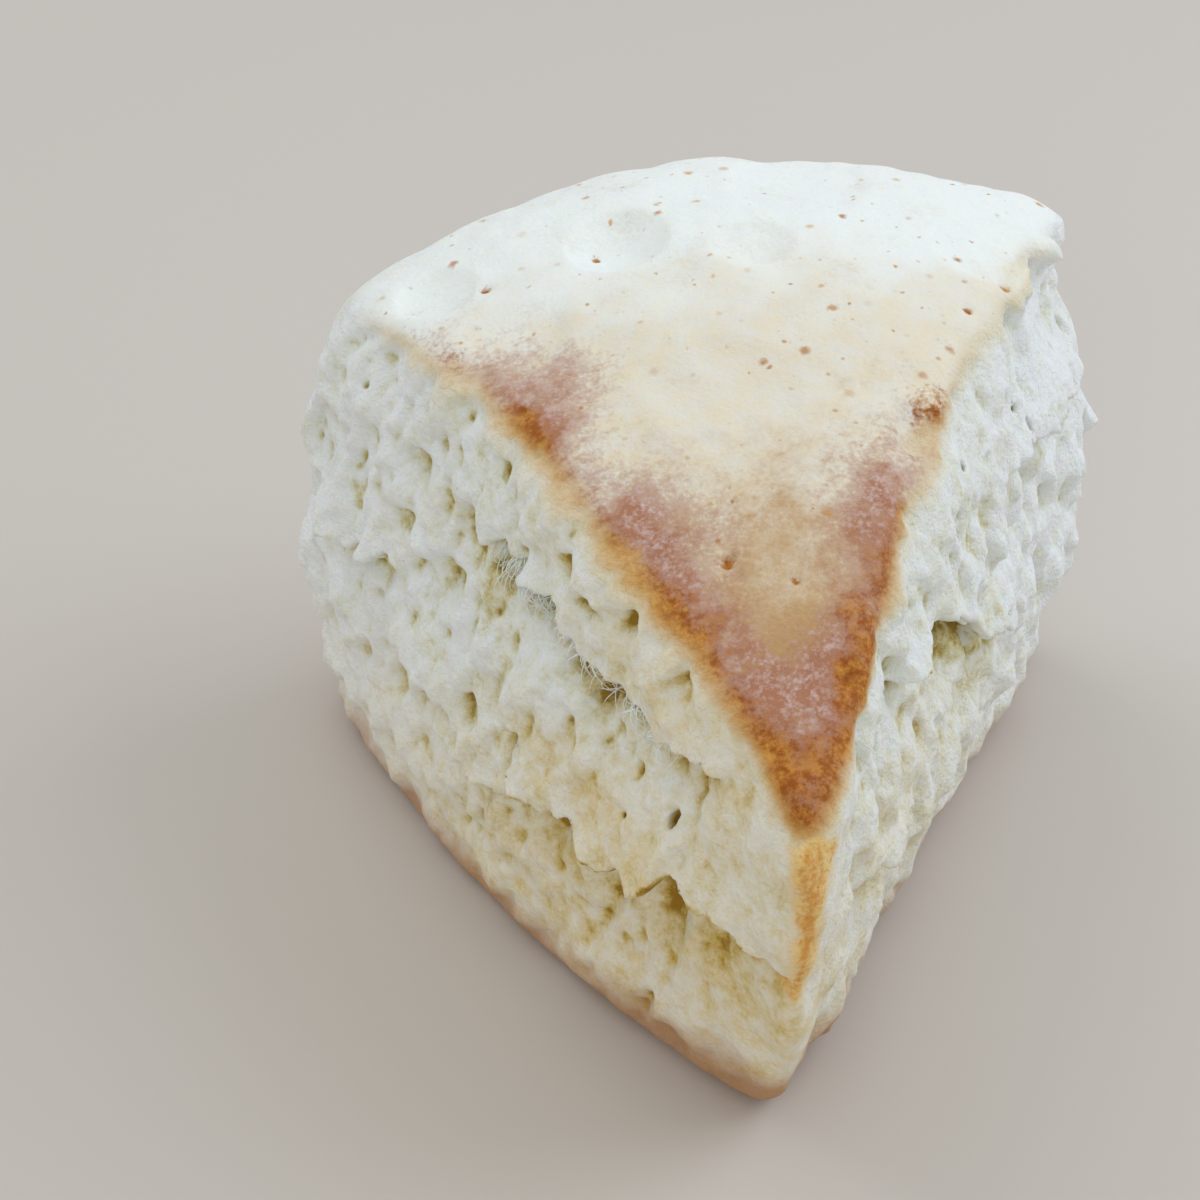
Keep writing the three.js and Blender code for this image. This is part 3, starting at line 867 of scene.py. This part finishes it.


# The finish is baked dough: matt and a little translucent. Torn crumb has a painted cool highlight
# on its open ridges and painted olive yellow shade in its pores and under its torn layers, and is
# warmer towards the base, partly its own tone and partly painted warm bounce light. The crust goes
# from floury white through a pinkish blush to golden brown at its edges, with freckles and a dust
# of flour.
place = add_node(tree, "ShaderNodeTexCoord").outputs["Object"]
mask = {
    name: add_node(tree, "ShaderNodeAttribute", attribute_name=name).outputs["Fac"]
    for name in masks
}
cloud, cream, dust, mottle, grit, grain = [
    add_node(tree, "ShaderNodeTexNoise", {
        "Vector": place, "Scale": 1 / (size * mm), "Detail": detail, "Roughness": roughness,
    })
    for size, detail, roughness in (
        (5.5, 2, 0.5), (2.6, 4, 0.62), (2.1, 5, 0.78), (1.2, 4, 0.7), (0.5, 4, 0.6), (0.45, 2, 0.6),
    )
]

# Crumb: one row of colours from ridge to pore for the upper part, one for the base. Each row runs
# from a painted cool highlight on the open ridges to painted olive shade in the pores; the base row
# is warmer, partly the crumb's own tone and partly painted warm bounce light.
# The painted shade in the pores, stirred by noise, picks a place on each row of crumb colours.
pore_shade_level = mask["painted_pore_shade"]
for source, strength in ((cloud, 0.35), (cream, 0.6), (mottle, 0.45), (grain, 0.25)):
    pore_shade_level = add_node(tree, "ShaderNodeMath", {
        0: source.outputs["Fac"], 1: strength, 2: pore_shade_level,
    }, operation="MULTIPLY_ADD").outputs[0]
crumb_lit_to_shaded = {
    "cool_lit": ["#f4fafa", "#ecefe2", "#d2c994", "#a68a38"],
    "warm_tone_and_bounce": ["#f0e9d4", "#e8d6a4", "#d2b256", "#a67c20"],
}
crumb_lit_to_shaded_ramps = {}
for name, colours in crumb_lit_to_shaded.items():
    crumb_lit_to_shaded_ramps[name] = add_node(tree, "ShaderNodeValToRGB", {0: pore_shade_level})
    stops = crumb_lit_to_shaded_ramps[name].color_ramp.elements
    stops[0].position = 0.5
    for spot in (0.68, 0.86):
        stops.new(spot)
    for stop, colour in zip(stops, colours):
        stop.color = linear(colour)
crumb = add_node(tree, "ShaderNodeMix", {
    0: mask["warm_tone_and_bounce"], 6: crumb_lit_to_shaded_ramps["cool_lit"].outputs[0], 7: crumb_lit_to_shaded_ramps["warm_tone_and_bounce"].outputs[0],
}, data_type="RGBA")

# Crust: pale dough with cream clouds, then blush, then brown, each broken up by a speckle of grains
# from a third of a millimetre up.
speckle = add_node(tree, "ShaderNodeMath", {
    0: grain.outputs["Fac"], 1: 0.7, 2: mottle.outputs["Fac"],
}, operation="MULTIPLY_ADD")
pale = add_node(tree, "ShaderNodeValToRGB", {0: cream.outputs["Fac"]})
pale.color_ramp.elements[0].position = 0.35
pale.color_ramp.elements[1].position = 0.62
pale.color_ramp.elements[0].color = linear("#e8dec4")
pale.color_ramp.elements[1].color = linear("#e6e2d4")
floured = add_node(tree, "ShaderNodeMix", {
    0: mask["flour"], 6: pale.outputs[0], 7: linear("#eff4ef"),
}, data_type="RGBA")
tanned = add_node(tree, "ShaderNodeMath", {
    0: cloud.outputs["Fac"], 1: 0.8, 2: mask["tan"],
}, operation="MULTIPLY_ADD")
levels = []
for share, specks, least, most in (
    (tanned.outputs[0], 0.6, 0.9, 1.95), (mask["blush"], 0.8, 0.82, 1.6),
    (mask["brown"], 1.1, 1.2, 1.8),
):
    speckled = add_node(tree, "ShaderNodeMath", {
        0: speckle.outputs[0], 1: specks, 2: share,
    }, operation="MULTIPLY_ADD")
    levels.append(add_node(tree, "ShaderNodeMapRange", {
        0: speckled.outputs[0], 1: least, 2: most,
    }, interpolation_type="SMOOTHSTEP").outputs[0])
tan_level, blush_level, brown_level = levels
tan_crust = add_node(tree, "ShaderNodeMix", {
    0: tan_level, 6: floured.outputs[2], 7: linear("#c49f6c"),
}, data_type="RGBA")
blushed_crust = add_node(tree, "ShaderNodeMix", {
    0: blush_level, 6: tan_crust.outputs[2], 7: linear("#b07a5c"),
}, data_type="RGBA")

# A thin dust of flour, broken up into grains, turns patches of the blushed crust pinkish grey.
dust_grain = add_node(tree, "ShaderNodeMath", {
    0: grain.outputs["Fac"], 1: 0.9, 2: dust.outputs["Fac"],
}, operation="MULTIPLY_ADD")
dust_patch = add_node(tree, "ShaderNodeMapRange", {0: dust_grain.outputs[0], 1: 0.88, 2: 1.28})
dust_level = add_node(tree, "ShaderNodeMath", {
    0: dust_patch.outputs[0], 1: blush_level,
}, operation="MULTIPLY")
dusted = add_node(tree, "ShaderNodeMix", {
    0: dust_level.outputs[0], 6: blushed_crust.outputs[2], 7: linear("#d6c2bc"),
}, data_type="RGBA")
brown_grain = add_node(tree, "ShaderNodeMath", {
    0: speckle.outputs[0], 1: 0.5, 2: dust.outputs["Fac"],
}, operation="MULTIPLY_ADD")
brown_tone = add_node(tree, "ShaderNodeValToRGB", {0: brown_grain.outputs[0]})
brown_tone.color_ramp.elements[0].position = 0.72
brown_tone.color_ramp.elements[1].position = 1.0
brown_tone.color_ramp.elements[0].color = linear("#dc9e44")
brown_tone.color_ramp.elements[1].color = linear("#a0590f")
browned_crust = add_node(tree, "ShaderNodeMix", {
    0: brown_level, 6: dusted.outputs[2], 7: brown_tone.outputs[0],
}, data_type="RGBA")

# Freckles: spots of uneven edge in some of the cells of a grid seen from above, of two sizes: up to
# 1.3 mm and up to 0.7 mm across. The rim has none.
wobble = add_node(tree, "ShaderNodeVectorMath", {
    0: mottle.outputs["Color"], 1: (0.9 * mm,) * 3, 2: place,
}, operation="MULTIPLY_ADD")
crust = browned_crust.outputs[2]
for cell, spread, least in ((3.4, 0.34, -0.15), (1.7, 0.5, -0.3)):
    cells = add_node(tree, "ShaderNodeTexVoronoi", {
        "Vector": wobble.outputs[0], "Scale": 1 / (cell * mm),
    }, voronoi_dimensions="2D")
    cell_draw = add_node(tree, "ShaderNodeSeparateColor", {0: cells.outputs["Color"]})
    radius = add_node(tree, "ShaderNodeMath", {
        0: cell_draw.outputs[0], 1: spread, 2: least,
    }, operation="MULTIPLY_ADD")
    depth = add_node(tree, "ShaderNodeMath", {
        0: radius.outputs[0], 1: cells.outputs["Distance"],
    }, operation="SUBTRACT")
    spot = add_node(tree, "ShaderNodeMapRange", {0: depth.outputs[0], 1: 0, 2: 0.12})
    spot_strength = add_node(tree, "ShaderNodeMath", {
        0: mask["level"], 1: cell_draw.outputs[2],
    }, operation="MULTIPLY")
    spot_level = add_node(tree, "ShaderNodeMath", {
        0: spot.outputs[0], 1: spot_strength.outputs[0],
    }, operation="MULTIPLY")
    spot_tone = add_node(tree, "ShaderNodeMix", {
        0: cell_draw.outputs[1], 6: linear("#d2a250"), 7: linear("#b67c50"),
    }, data_type="RGBA")
    freckled = add_node(tree, "ShaderNodeMix", {
        0: spot_level.outputs[0], 6: crust, 7: spot_tone.outputs[2],
    }, data_type="RGBA")
    crust = freckled.outputs[2]

# The crust starts at its edge, uneven by a third of a millimetre; just below a browned edge the
# crumb is toasted too.
edge = add_node(tree, "ShaderNodeMath", {
    0: mottle.outputs["Fac"], 1: 0.9, 2: mask["rise"],
}, operation="MULTIPLY_ADD")
on_crust = add_node(tree, "ShaderNodeMapRange", {
    0: edge.outputs[0], 1: 0, 2: 1.1,
}, interpolation_type="SMOOTHSTEP")
under = add_node(tree, "ShaderNodeMapRange", {
    0: edge.outputs[0], 1: -2.0, 2: 0.3, 4: mask["cream"],
}, interpolation_type="SMOOTHSTEP")
creamy = add_node(tree, "ShaderNodeMix", {
    0: under.outputs[0], 6: crumb.outputs[2], 7: linear("#e4d2a4"),
}, data_type="RGBA")
below = add_node(tree, "ShaderNodeMapRange", {
    0: edge.outputs[0], 1: -0.7, 2: 0.6,
}, interpolation_type="SMOOTHSTEP")
toast = add_node(tree, "ShaderNodeMath", {
    0: below.outputs[0], 1: mask["brown"],
}, operation="MULTIPLY")
toasted = add_node(tree, "ShaderNodeMix", {
    0: toast.outputs[0], 6: creamy.outputs[2], 7: linear("#d4a55c"),
}, data_type="RGBA")
skin = add_node(tree, "ShaderNodeMix", {
    0: on_crust.outputs[0], 6: toasted.outputs[2], 7: crust,
}, data_type="RGBA")

# Caramelised strip down the front edge, yellow along its sides and at its lower end, and the
# browned foot.
drip_level = add_node(tree, "ShaderNodeMapRange", {
    0: mask["drip"], 1: -0.3, 2: 1.1, 4: 0.95,
}, interpolation_type="SMOOTHSTEP")
drip_mix = add_node(tree, "ShaderNodeMath", {
    0: speckle.outputs[0], 1: 3.0, 2: mask["drip_core"],
}, operation="MULTIPLY_ADD", use_clamp=True)
drip_tone = add_node(tree, "ShaderNodeMix", {
    0: drip_mix.outputs[0], 6: linear("#de9a3a"), 7: linear("#f4d28a"),
}, data_type="RGBA")
dripped = add_node(tree, "ShaderNodeMix", {
    0: drip_level.outputs[0], 6: skin.outputs[2], 7: drip_tone.outputs[2],
}, data_type="RGBA")
foot_level = add_node(tree, "ShaderNodeMath", {0: mask["foot"], 1: 0.9}, operation="MULTIPLY")
footed = add_node(tree, "ShaderNodeMix", {
    0: foot_level.outputs[0], 6: dripped.outputs[2], 7: linear("#ba8a62"),
}, data_type="RGBA")
tree.links.new(footed.outputs[2], shader.inputs["Base Color"])
gloss = add_node(tree, "ShaderNodeMapRange", {0: on_crust.outputs[0], 3: 0.8, 4: 0.6})
tree.links.new(gloss.outputs[0], shader.inputs["Roughness"])
shader.inputs["Specular IOR Level"].default_value = 0.25
shader.inputs["Subsurface Weight"].default_value = 0.45
shader.inputs["Subsurface Radius"].default_value = (1.0, 0.75, 0.45)
shader.inputs["Subsurface Scale"].default_value = 0.6 * mm

# Fine crumb too small for the mesh: grains of a millimetre down to a tenth, fainter on the crust.
grains = add_node(tree, "ShaderNodeMath", {
    0: mottle.outputs["Fac"], 1: 1.4, 2: grit.outputs["Fac"],
}, operation="MULTIPLY_ADD")
grit_strength = add_node(tree, "ShaderNodeMapRange", {0: on_crust.outputs[0], 3: 0.9, 4: 0.35})
bump = add_node(tree, "ShaderNodeBump", {
    "Height": grains.outputs[0], "Distance": 0.4 * mm, "Strength": grit_strength.outputs[0],
})
tree.links.new(bump.outputs[0], shader.inputs["Normal"])
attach(scone, "root")
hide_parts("scone")


# Torn strands: wisps of dough that still hang from the left wall's main tear into its recess. Each
# is a tapered tube, 0.15 mm thick where it starts under the torn edge, bent towards a point of the
# skin further down.
def bent_tube(root, end, draw):
    """Rings of points round a line from root towards end, arched out of the wall and wavering, with
    the four-sided faces between them and over both ends. Each ring is a square across the line."""
    t = np.linspace(0, 1, strand_rings)[:, None]
    out = np.array([-math.cos(half_angle), -math.sin(half_angle), 0])
    waver = 0.16 * draw.normal(size=3) * np.sin(draw.uniform(3, 7) * t + draw.uniform(0, 6))
    arch = draw.uniform(0.2, 1.0) * 4 * t * (1 - t)
    line = root + (end - root) * draw.uniform(0.4, 1.05) * t + out * arch + waver * t
    along = np.gradient(line, axis=0)
    across = np.cross(along, out)
    across /= np.linalg.norm(across, axis=1, keepdims=True)
    upward = np.cross(across, along)
    upward /= np.linalg.norm(upward, axis=1, keepdims=True)
    turn = 2 * math.pi * np.arange(strand_sides) / strand_sides
    radius = (strand_radius * (1 - 0.75 * t))[:, :, None]
    rings = line[:, None] + radius * (
        np.cos(turn)[None, :, None] * across[:, None]
        + np.sin(turn)[None, :, None] * upward[:, None]
    )
    ring, side = np.meshgrid(np.arange(strand_rings - 1), np.arange(strand_sides), indexing="ij")
    first, second = ring * strand_sides + side, ring * strand_sides + (side + 1) % strand_sides
    faces = np.stack([first, first + strand_sides, second + strand_sides, second], -1)
    start = np.arange(strand_sides)
    caps = [start, start[::-1] + (strand_rings - 1) * strand_sides]
    return rings.reshape(-1, 3), np.concatenate([faces.reshape(-1, strand_sides), caps])


strand_count = 240
strand_sides = 4
strand_rings = 8
strand_radius = 0.075
strand_reach = 4.8
# Where strands start and end: distances from the tip, and heights over the main tear's edge.
tear_span = 13, 42
root_heights = -1.8, 0.6
end_heights = -7, -2.4
s = along_cut(places[:, 0], places[:, 1])
over_edge = places[:, 2] - follow(tears["left"][0][0], s)
on_tear = (places[:, 0] < 0) & (s > tear_span[0]) & (s < tear_span[1])
under_edge, in_recess = [
    places[on_tear & (over_edge > low) & (over_edge < high)]
    for low, high in (root_heights, end_heights)
]
draw = np.random.default_rng(61)
strand_points, strand_faces = [], []
for k in range(strand_count):
    root = under_edge[draw.integers(len(under_edge))]
    near = in_recess[np.linalg.norm(in_recess - root, axis=1) < strand_reach]
    if len(near):
        rings, faces = bent_tube(root, near[draw.integers(len(near))], draw)
        strand_faces.append(faces + sum(len(points) for points in strand_points))
        strand_points.append(rings)
strand_material, _, strand_shader = new_material("torn_dough")
strand_shader.inputs["Base Color"].default_value = linear("#fafaf6")
strand_shader.inputs["Roughness"].default_value = 0.7
strand_shader.inputs["Subsurface Weight"].default_value = 0.6
strand_shader.inputs["Subsurface Scale"].default_value = 0.3 * mm
strands = mesh_object(
    "torn_strands", (np.concatenate(strand_points) - middle_of_box) * mm,
    np.concatenate(strand_faces), strand_material,
)
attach(strands, "root")
